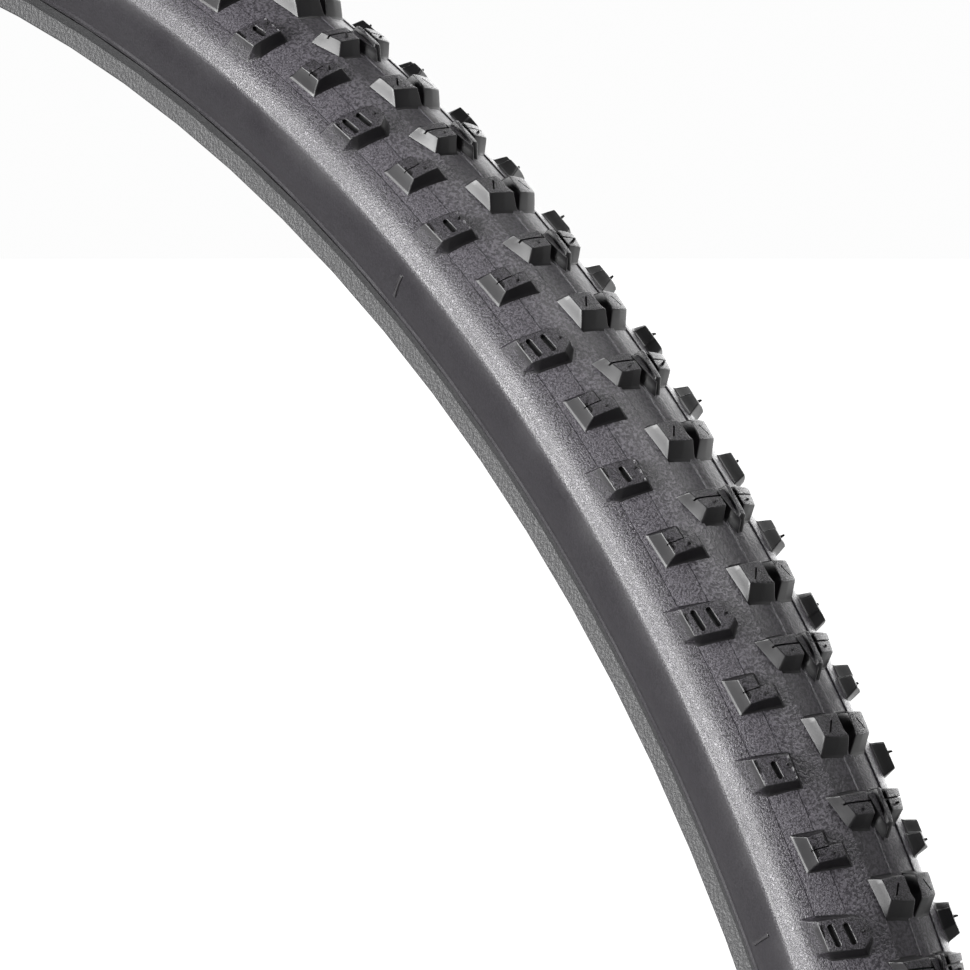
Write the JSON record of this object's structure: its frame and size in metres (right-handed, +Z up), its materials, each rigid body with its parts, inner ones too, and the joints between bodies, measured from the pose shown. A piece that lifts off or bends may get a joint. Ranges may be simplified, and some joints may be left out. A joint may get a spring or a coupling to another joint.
{
  "type": "bicycle tire",
  "caption": "Knobbed clincher tyre for a 622 mm gravel or cyclocross wheel, with slotted shoulder blocks, chevron centre knobs and two hooked beads that seat on a rim.",
  "frame": {"origin": "centre of the wheel, on the tyre's spin axis and in its middle plane", "axes": "+Y along the spin axis, +Z up, +X across the wheel plane; the side called left is at -Y"},
  "size_m": [0.6846, 0.0322, 0.6846],
  "materials": {
    "knob_rubber": "satin moulded rubber",
    "tread_rubber": "matte, fine-grained moulded rubber",
    "sidewall_rubber": "satin moulded rubber",
    "chafer_rubber": "satin, smooth",
    "casing_fabric": "rubbered nylon cloth",
    "liner_rubber": "matte, calendered",
    "filler_rubber": "matte",
    "bead_cord": "aramid cord"
  },
  "bodies": {
    "root": {"casing_ply_outer": "casing_fabric", "casing_ply_inner": "casing_fabric", "breaker_belt": "casing_fabric", "inner_liner": "liner_rubber", "bead_core_left": "bead_cord", "bead_filler_left": "filler_rubber", "chafer_left": "chafer_rubber", "sidewall_left": "sidewall_rubber", "tread_shoulder_left": "tread_rubber", "shoulder_knobs_single_slot_left": "knob_rubber", "shoulder_knobs_double_slot_left": "knob_rubber", "shoulder_knobs_stepped_left": "knob_rubber", "chevron_knobs_left": "knob_rubber", "split_block_knobs_left": "knob_rubber", "vent_hairs_left": "knob_rubber", "bead_core_right": "bead_cord", "bead_filler_right": "filler_rubber", "chafer_right": "chafer_rubber", "sidewall_right": "sidewall_rubber", "tread_shoulder_right": "tread_rubber", "shoulder_knobs_single_slot_right": "knob_rubber", "shoulder_knobs_double_slot_right": "knob_rubber", "shoulder_knobs_stepped_right": "knob_rubber", "chevron_knobs_right": "knob_rubber", "split_block_knobs_right": "knob_rubber", "vent_hairs_right": "knob_rubber", "tread_centre_strip": "tread_rubber", "centre_bar_knobs": "knob_rubber"}
  },
  "joints": []
}
